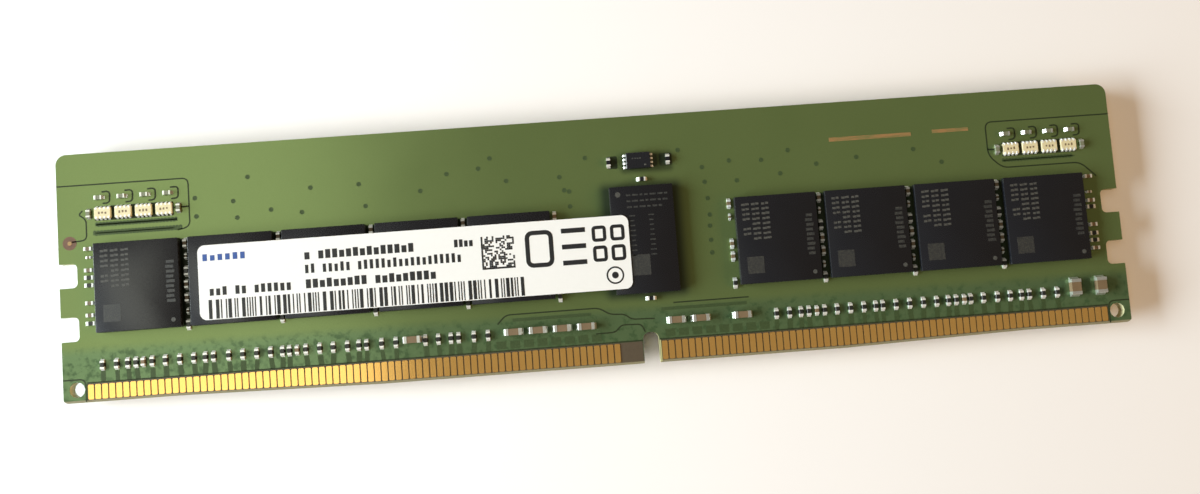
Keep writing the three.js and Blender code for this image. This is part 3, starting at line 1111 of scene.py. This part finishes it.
# Places of the small parts: x along the row above the contacts, and y up the columns beside the chips.
RESISTOR_ROW_Y = 4.95
LEFT_ROW = [
    4.9, 6.6, 7.95, 8.95, 10.9, 12.5, 14.25, 15.95, 17.35, 18.35, 20.2, 21.9, 23.6, 25.3, 26.75, 27.6,
    29.6, 31.3, 32.95, 34.7, 36.1, 37.05, 38.9, 40.65, 44.3, 45.9, 47.45, 48.4, 50.3, 52.05,
]
LEFT_ROW_CAPACITORS = [9.85, 28.55]
RIGHT_ROW = [
    88.2, 89.85, 91.3, 92.3, 94.3, 95.9, 97.6, 99.3, 100.8, 101.7, 103.4, 105.15, 106.9, 108.6, 110.1, 111.1,
    112.95, 114.6, 116.4, 118.05, 119.5, 120.5, 122.3, 124.1,
]
RIGHT_ROW_CAPACITORS = [93.3, 112.1]

COLUMN_PARTS = [
    (19.15, "capacitor"), (17.55, "midget"), (15.7, "resistor"), (14.05, "capacitor"),
    (12.4, "capacitor"), (10.75, "midget"), (9.1, "resistor"),
]
SHORT_COLUMN = [
    (19.2, "capacitor"), (17.5, "midget"), (14.1, "capacitor"), (12.5, "capacitor"), (9.15, "resistor"),
]
LEFT_END = [
    (19.3, "capacitor"), (18.25, "midget"), (16.65, "capacitor"), (15.75, "resistor"), (14.8, "resistor"),
    (12.6, "capacitor"), (11.1, "capacitor"), (10.1, "resistor"),
]
RIGHT_END = [
    (19.4, "capacitor"), (17.4, "midget"), (16.3, "capacitor"), (15.5, "resistor"), (13.2, "capacitor"),
    (12.1, "resistor"), (11.2, "resistor"), (10.2, "capacitor"),
]


def column_places(x, parts, turn=0):
    """Places of a column of small parts: x, y, turn and kind of each."""
    return [(x, y, turn, kind) for y, kind in parts]


def row_places(resistors, capacitors):
    """Places of a row of small parts above the contacts."""
    places = [(x, RESISTOR_ROW_Y, 0, "resistor") for x in resistors]
    return places + [(x, RESISTOR_ROW_Y, 0, "capacitor") for x in capacitors]


def small_part_groups():
    """The places of the small parts on one face, as a named group for each column and row."""
    groups = {}
    for number in range(1, 9):
        after = node_box(f"memory_chip_front_{number}")[1].x
        before = node_box(f"memory_chip_front_{number + 1}")[0].x
        if number < 5:
            groups[f"column_{number}"] = column_places((after + before) / 2, COLUMN_PARTS)
        elif number == 5:
            groups["column_6"] = column_places(before - 0.6, SHORT_COLUMN)
        else:
            groups[f"column_{number + 1}"] = column_places((after + before) / 2, COLUMN_PARTS)
    groups["column_5"] = column_places(node_box("memory_chip_front_5")[1].x + 0.58, COLUMN_PARTS)
    groups["left_end"] = column_places(3.72, LEFT_END, 90)
    groups["right_end"] = column_places(LENGTH - 3.7, RIGHT_END, 90)
    groups["row_left"] = row_places(LEFT_ROW, LEFT_ROW_CAPACITORS)
    groups["row_right"] = row_places(RIGHT_ROW, RIGHT_ROW_CAPACITORS)
    return groups


def small_parts():
    """Small resistors and capacitors in rows and columns that serve the chips, on both faces."""
    patterns = {
        "resistor": two_ended(**RESISTOR),
        "capacitor": two_ended(**CAPACITOR),
        "midget": two_ended(**MIDGET),
    }
    for side in ("front", "back"):
        for name, places in small_part_groups().items():
            parts = [
                own_copy(part, (x, y, FRONT), turn) for x, y, turn, kind in places for part in patterns[kind]
            ]
            split_by_finish(parts, side, name)
    for parts in patterns.values():
        discard(*parts)


TOP_MARGIN = 0.012  # how far a capacitor stays below the top of its CAD node


def on_board(piece, low, high):
    """Moves a part made about the origin to the middle of a box on the board's front."""
    centre = (low + high) / 2
    piece.data.transform(Matrix.Translation((centre.x, centre.y, FRONT)))


def cad_capacitors():
    """The capacitors that CAD gives a place and size, each with its ceramic, ends and solder."""
    for name in sorted(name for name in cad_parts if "capacitor" in name):
        low, high = node_box(name)
        size = high - low
        length, width = max(size.x, size.y), min(size.x, size.y)
        end = NARROW_END if length < LONG_PART else WIDE_END
        body, ends = "titanate", "plated"
        if name.startswith(("register", "sensor")):
            body, ends = "mould", "tin"
        elif name.startswith(("bypass", "array_end")):
            body = "pale"
        whole = joined(two_ended(length, width, size.z - TOP_MARGIN, end, body, end_finish=ends))
        if size.x > size.y:
            whole.data.transform(Matrix.Rotation(math.radians(90), 4, "Z"))
        on_board(whole, low, high)
        finished(whole, f"detailed_{name}", [name])


# ------------------------------------------------------------------ resistor arrays and sensor

LEGS = 4
LEG_PITCH = 0.5
LEG_WIDTH = 0.28
LEG_ROOT = 0.02  # how far a terminal runs into the body


def leg_row(across, reach, height):
    """Four tinned terminals in a row along x, with solder in front of them."""
    legs = []
    for number in range(LEGS):
        along = (number - (LEGS - 1) / 2) * LEG_PITCH
        left = along - LEG_WIDTH / 2
        leg = block((left, across - reach, 0.0), (left + LEG_WIDTH, across + LEG_ROOT, height))
        worn(bevelled(leg, 0.04, 1, top_rim(leg)), "tin")
        toe = fillet(LEG_WIDTH * 0.9, 0.16, height * 0.5)
        toe.data.transform(Matrix.Translation((along, across - reach, 0)))
        legs += [leg, toe]
    return joined(legs)


def resistor_arrays():
    """Cream blocks of four resistors with wrapped terminals on both long sides and a faint row of ticks."""
    dice = random.Random(12)
    for side in ("left", "right"):
        for number in range(1, 5):
            node = f"resistor_array_{side}_{number}"
            low, high = node_box(node)
            size = high - low
            top = size.z - 0.02
            body = bevelled(about_middle(size.x, size.y - 0.12, 0.03, top), 0.05, 2)
            bevelled(body, 0.04, 1, top_rim(body))
            worn(smoothed(body), "array")
            near = leg_row(-size.y / 2 + 0.30, 0.32, size.z - 0.01)
            far = own_copy(near, turn=180)
            ticks = []
            for x in (-0.4, 0.0, 0.4):
                y = dice.uniform(-0.04, 0.04)
                ticks.append(print_tile(x, y, 0.2, dice.uniform(0.2, 0.34), top))
            whole = joined([body, near, far, worn(joined(ticks), "titanate")])
            on_board(whole, low, high)
            finished(whole, f"detailed_{node}", [node])


def sensor_chip():
    """The small black temperature sensor with four terminals at each end."""
    low, high = node_box("sensor_chip")
    size = high - low
    body = bevelled(about_middle(size.x - 0.4, size.y, 0.02, size.z), 0.05, 2)
    bevelled(body, 0.05, 1, top_rim(body))
    worn(smoothed(body), "mould")
    near = leg_row(-size.x / 2 + 0.24, 0.3, 0.24)
    near.data.transform(Matrix.Rotation(math.radians(90), 4, "Z"))
    far = own_copy(near, turn=180)
    spot = worn(disc(0.85, -0.6, 0.14, size.z, SKIN, 12), "mark")
    ticks = [print_tile(-0.7 + step * 0.32, 0.25, 0.2, 0.12, size.z) for step in range(4)]
    whole = joined([body, near, far, spot, worn(joined(ticks), "mark")])
    on_board(whole, low, high)
    finished(whole, "detailed_sensor_chip", ["sensor_chip"])


# ------------------------------------------------------------------ what shows in the mask

TRACE_GAP = 0.17
THIN_GAP = 0.14
ARRAY_LOOP_Y = 27.3  # the long gap above the resistor arrays
WOUND_Y = (20.95, 22.05)  # the two runs of wound traces below them
VIAS = [
    (16.9, 24.7), (17.0, 22.4), (21.6, 24.0), (22.0, 21.9), (23.5, 26.9), (26.2, 22.6), (30.0, 22.0),
    (31.2, 25.0), (37.2, 25.0), (37.9, 22.2), (44.8, 23.6), (48.2, 25.5), (52.2, 25.9), (53.7, 27.1),
    (55.6, 24.1), (62.3, 24.1), (62.8, 22.4), (63.4, 22.2), (63.4, 20.3), (65.7, 26.3), (77.5, 26.5),
    (80.4, 24.1), (80.6, 22.2), (80.8, 20.1), (80.9, 18.0), (80.8, 16.6), (80.8, 14.8), (80.8, 13.2),
    (83.9, 24.7), (84.7, 22.1), (88.0, 24.5), (90.3, 22.6), (91.5, 25.5), (95.0, 23.5), (100.2, 24.0),
    (107.6, 24.5), (111.1, 22.6),
]


def meander(start, end, y, height, pitch):
    """The points of a line that winds up and down between two heights."""
    points = []
    for step in range(round((end - start) / pitch)):
        x = start + step * pitch
        points += [(x, y), (x, y + height), (x + pitch / 2, y + height), (x + pitch / 2, y)]
    return points


def array_corner_lines():
    """The gaps in the copper round the two groups of resistor arrays."""
    left_loop = [(0.0, ARRAY_LOOP_Y), (16.15, ARRAY_LOOP_Y), (16.15, 21.2), (14.6, 20.9)]
    right_loop = [(LENGTH, ARRAY_LOOP_Y), (117.2, ARRAY_LOOP_Y), (117.2, 23.0), (118.9, 21.3)]
    right_loop += [(129.0, 21.3), (130.9, 19.4)]
    routes = [
        (left_loop, 0.8, TRACE_GAP),
        ([(1.7, 20.3), (3.5, 20.4), (3.5, 23.0), (2.6, 23.6), (3.1, 24.1)], 0.7, TRACE_GAP),
        ([(14.2, 23.75), (16.15, 23.75)], 0.2, 0.2),
        (right_loop, 0.9, TRACE_GAP),
        ([(117.2, 23.75), (118.4, 23.7)], 0.2, 0.2),
    ]
    return [ribbon(points, width, MASK_TOP, radius) for points, radius, width in routes]


def winding_traces():
    """Traces wound to equal lengths below the two groups of resistor arrays."""
    lower, upper = WOUND_Y
    routes = [
        (meander(4.7, 14.6, upper, 0.42, 0.42), 0.18),
        (meander(4.4, 15.3, lower, 0.5, 0.42), 0.18),
        ([(4.7, upper + 0.2), (14.6, upper + 0.2)], 0.2),
        ([(4.6, lower + 0.25), (14.2, lower + 0.25)], THIN_GAP),
        (meander(119.0, 128.4, upper, 0.36, 0.42), 0.16),
        ([(119.0, upper + 0.15), (128.4, upper + 0.15)], THIN_GAP),
    ]
    return [ribbon(points, width, MASK_TOP, 0.1) for points, width in routes]


def dark_fields():
    """Dark fields in the mask, between the chips and under the arrays, the sensor and the resistors: laminate
    with no copper under it and, between the chips, round the arrays and beside the row resistors, painted
    shade as well.
    """
    fields = []

    def field(left, bottom, right, top):
        fields.append(tile((left, bottom, MASK_TOP), (right, top, MASK_TOP + SKIN)))

    # Painted shade: the strips between the chips stand partly for the shadow that falls there.
    for number in (1, 2, 3, 4, 6, 7, 8):
        start = node_box(f"memory_chip_front_{number}")[1]
        end = node_box(f"memory_chip_front_{number + 1}")[0]
        field(start.x - 0.2, end.y + 0.1, end.x + 0.2, start.y - 0.1)
    # Painted shade: the field under the resistor arrays darkens the gaps between them, where shadow falls.
    for side in ("left", "right"):
        start = node_box(f"resistor_array_{side}_1")[0]
        end = node_box(f"resistor_array_{side}_4")[1]
        field(start.x - 0.1, start.y - 0.2, end.x + 0.1, end.y + 0.15)
    low, high = node_box("sensor_chip")
    sensor_fields = [(low.x - 2.2, low.x - 0.9), (low.x - 0.2, high.x + 0.7), (high.x + 1.0, high.x + 2.6)]
    for left, right in sensor_fields:
        field(left, low.y + 0.2, right, high.y - 0.2)
    # Painted shadow: a dark tile under each row resistor, wider than its body, darkens the mask at its sides.
    fields += [print_tile(x, RESISTOR_ROW_Y, 0.78, 0.5, MASK_TOP) for x in LEFT_ROW + RIGHT_ROW]
    return [bevelled(piece, 0.2, 3) for piece in fields]


def key_lines():
    """The gaps in the copper near the key, round the two lower corners and along the contacts."""
    routes = [
        ([(53.3, 6.2), (54.4, 7.3), (66.0, 7.3), (67.4, 6.4), (69.2, 6.3), (70.0, 5.6), (72.9, 5.5)], 0.6),
        ([(65.4, 4.1), (67.9, 4.15), (68.7, 5.0), (71.2, 4.9), (71.6, 3.9)], 0.5),
        ([(75.4, 7.3), (84.9, 7.3)], 0.3),
        ([(0.0, 3.35), (2.75, 3.35), (2.75, 0.6)], 0.8),
        ([(LENGTH, 3.35), (LENGTH - 2.75, 3.35), (LENGTH - 2.75, 0.6)], 0.8),
    ]
    lines = [ribbon(points, TRACE_GAP, MASK_TOP, radius) for points, radius in routes]
    for start, end in CONTACT_BANDS:
        lines.append(ribbon([(start, MASK_EDGE + 0.1), (end, MASK_EDGE + 0.1)], 0.16, MASK_TOP))
    return lines


def capacitor_loops():
    """A short hook of gap beside each bypass capacitor."""
    loops = []
    for side in ("left", "right"):
        for number in range(1, 5):
            low, high = node_box(f"bypass_capacitor_{side}_{number}")
            x, y = high.x, (low.y + high.y) / 2
            hook = [(x - 0.1, y - 0.75), (x + 0.75, y - 0.7), (x + 0.8, y + 0.75), (x - 0.2, y + 0.7)]
            loops.append(ribbon(hook, 0.2, MASK_TOP, 0.5))
    return loops


def escape_lines(xs):
    """A darker streak on the mask between each small resistor and its contact."""
    dice = random.Random(3)
    lines = []
    for x in xs:
        top = 4.3 - dice.uniform(0.0, 0.2)
        lean = dice.uniform(-0.15, 0.15)
        lines.append(ribbon([(x, top), (x + lean, MASK_EDGE + 0.15)], dice.uniform(0.5, 0.68), MASK_TOP))
    return lines


VIA_RADIUS = 0.30
VIA_RIM = 0.1


def via_dimple():
    """A via under the mask: a low disc with a shallow sunk middle."""
    dimple = disc(0.0, 0.0, VIA_RADIUS, 0.0, SKIN, 12)
    with picked(dimple, "FACE", lambda face: face.normal.z > 0.9 and face.calc_area() > 0.05):
        bpy.ops.mesh.inset(thickness=VIA_RIM)
        bpy.ops.transform.translate(value=(0, 0, -SKIN * 0.6))
    return dimple


CAPACITOR_BANDS = [(55.2, 65.0), (73.8, 84.6)]  # shaded stretches above the capacitors beside the key
BAND_Y = 6.6
POOL_STARTS = (53.6, 74.7)
POOL_PITCH = 1.7
POOL_Y = 3.6


def copper_gaps_and_painted_shade():
    """The dark lines and fields of the front, the fields partly painted shade, and the softer ones that both
    faces have.
    """
    gaps = array_corner_lines() + dark_fields() + key_lines() + capacitor_loops()
    finished(worn(joined(gaps), "gap"), "copper_gaps_front")
    soft = escape_lines(LEFT_ROW + RIGHT_ROW)
    soft += [ribbon([(start, BAND_Y), (end, BAND_Y)], 0.4, MASK_TOP) for start, end in CAPACITOR_BANDS]
    for start in POOL_STARTS:
        soft += [print_tile(start + step * POOL_PITCH, POOL_Y, 1.2, 0.95, MASK_TOP) for step in range(8)]
    escapes = worn(joined(soft + winding_traces()), "via")
    escapes_back = own_copy(escapes)
    finished(escapes, "escape_gaps_front")
    finished(to_back(escapes_back), "escape_gaps_back")


BACK_VIAS = 60
BACK_VIA_SPACE = 1.6


def back_via_places():
    """Scattered places for the vias on the back, none too near another."""
    dice = random.Random(21)
    places = []
    while len(places) < BACK_VIAS:
        x, y = dice.uniform(5.0, LENGTH - 5.0), dice.uniform(20.8, 29.5)
        if all(abs(x - other_x) + abs(y - other_y) > BACK_VIA_SPACE for other_x, other_y in places):
            places.append((x, y))
    return places


def vias():
    """The vias under the mask on both faces."""
    pattern = via_dimple()
    front = joined(own_copy(pattern, (x, y, MASK_TOP)) for x, y in VIAS)
    back = joined(own_copy(pattern, (x, y, MASK_TOP)) for x, y in back_via_places())
    finished(worn(front, "via"), "vias_front")
    finished(to_back(worn(back, "via")), "vias_back")
    discard(pattern)


KEY_RIGHT = 73.25
STRIPS = [
    dict(x=102.2, y=26.45, width=10.6, height=0.5),
    dict(x=112.6, y=26.6, width=4.7, height=0.45),
]
TEST_LAND = (1.4, 20.15)


def bare_spots():
    """The pale right wall of the key, two strips of copper near the top, and a test land."""
    key_wall = tile((KEY_RIGHT, 0.12, FRONT), (KEY_RIGHT + 0.22, 3.05, MASK_TOP))
    finished(worn(key_wall, "cut edge"), "key_wall_edge")
    strips = [print_tile(**strip, level=MASK_TOP) for strip in STRIPS]
    finished(worn(joined(strips), "copper"), "copper_strips")
    scorch = worn(disc(*TEST_LAND, 0.85, MASK_TOP, SKIN, 32), "flux")
    land = worn(disc(*TEST_LAND, 0.26, MASK_TOP + SKIN, PAD, 24), "copper")
    finished(joined([scorch, land]), "test_land")


# ------------------------------------------------------------------ label

PRINT_LEVEL = LABEL_HIGH.z
LINE_GAPS = 0.09  # share of the blocks in a line that are left out
BAR_WIDTHS = (0.15, 0.15, 0.28, 0.42)
BAR_SPACES = (0.16, 0.18, 0.32, 0.45)
CELL_SHARE = 0.48  # share of the cells in the square code that are printed
CELL_SIZE = 0.94  # side of a printed cell, as a share of the pitch


def block_line(start, end, y, height, seed, pitch=0.85, share=0.72):
    """A line of print as plain blocks of uneven height, with a gap now and then."""
    dice = random.Random(seed)
    width = pitch * share
    tiles = []
    x = start
    while x + width <= end:
        tall = height * dice.choice((0.8, 0.9, 1.0, 1.0))
        if dice.random() > LINE_GAPS:
            tiles.append(print_tile(x + width / 2, y + tall / 2, width, tall, PRINT_LEVEL))
        x += pitch
    return tiles


def barcode(start, end, low, high, seed):
    """Upright bars and spaces of random widths."""
    dice = random.Random(seed)
    bars = []
    x = start
    while x < end:
        width = dice.choice(BAR_WIDTHS)
        bars.append(print_tile(x + width / 2, (low + high) / 2, width, high - low, PRINT_LEVEL))
        x += width + dice.choice(BAR_SPACES)
    return bars


def cell_code(x, y, size, cells, seed):
    """A square field of random cells with a solid left side and foot."""
    dice = random.Random(seed)
    pitch = size / cells
    side = pitch * CELL_SIZE
    foot = 2 * pitch - side
    tiles = [
        print_tile(x + size / 2, y + pitch / 2, size, pitch, PRINT_LEVEL),
        print_tile(x + side / 2, y + (size + foot) / 2, side, size - foot, PRINT_LEVEL),
    ]
    for row in range(1, cells):
        for column in range(1, cells):
            if dice.random() < CELL_SHARE:
                middle_x, middle_y = x + (column + 0.5) * pitch, y + (row + 0.5) * pitch
                tiles.append(print_tile(middle_x, middle_y, side, side, PRINT_LEVEL))
    return tiles


BLUE_WORD = dict(start=17.9, end=24.4, y=16.65, height=0.85, seed=5, pitch=0.92, share=0.6)
BLACK_LINES = [
    dict(start=30.3, end=44.2, y=15.95, height=1.1, seed=6),
    dict(start=48.7, end=51.1, y=16.1, height=0.95, seed=7, pitch=0.62, share=0.7),
    dict(start=30.3, end=49.5, y=14.25, height=1.15, seed=8, pitch=0.72, share=0.55),
    dict(start=30.3, end=46.9, y=12.4, height=1.1, seed=9),
    dict(start=18.6, end=29.2, y=12.35, height=1.05, seed=10, pitch=0.78, share=0.62),
]
BARCODE = dict(start=18.4, end=56.6, low=9.5, high=11.85, seed=11)
CELL_CODE = dict(x=52.0, y=13.05, size=4.1, cells=18, seed=12)
LARGE_FRAME = dict(x=59.2, y=15.15, width=3.5, height=4.6, stroke=0.55, corner=0.9)
BAR_HEIGHTS = (13.15, 15.15, 17.15)
SMALL_FRAME = dict(width=1.8, height=2.0, stroke=0.42, corner=0.45)
RING_PLACE = (68.35, 11.2)


def approval_marks():
    """Plain shapes in place of approval marks: a frame, three bars, four small frames and a ring."""
    marks = [frame_mark(**LARGE_FRAME, level=PRINT_LEVEL)]
    marks += [print_tile(63.5, y, 3.0, 0.6, PRINT_LEVEL) for y in BAR_HEIGHTS]
    for x in (66.7, 69.0):
        for y in (14.0, 16.5):
            marks.append(frame_mark(x, y, **SMALL_FRAME, level=PRINT_LEVEL))
    marks.append(ring(*RING_PLACE, 1.1, 0.2, PRINT_LEVEL, SKIN))
    marks.append(disc(*RING_PLACE, 0.42, PRINT_LEVEL, SKIN, 20))
    return marks


def label():
    """The label is the CAD film itself; its print is a skin of plain shapes on it."""
    dressed("label", "film")
    prints = [
        ("label_print_blue", "blue ink", block_line(**BLUE_WORD)),
        ("label_print_lines", "black ink", [part for line in BLACK_LINES for part in block_line(**line)]),
        ("label_barcode", "black ink", barcode(**BARCODE)),
        ("label_cell_code", "black ink", cell_code(**CELL_CODE)),
        ("label_marks", "black ink", approval_marks()),
    ]
    for name, ink_finish, parts in prints:
        finished(worn(joined(parts), ink_finish), name)


# ------------------------------------------------------------------ making it all

camera_and_stage()
board()
contacts()
spare_ball = solder_ball()
memory_chips(spare_ball)
register_chip(spare_ball)
small_parts()
cad_capacitors()
resistor_arrays()
sensor_chip()
copper_gaps_and_painted_shade()
vias()
bare_spots()
label()
discard(spare_ball, UNIT)
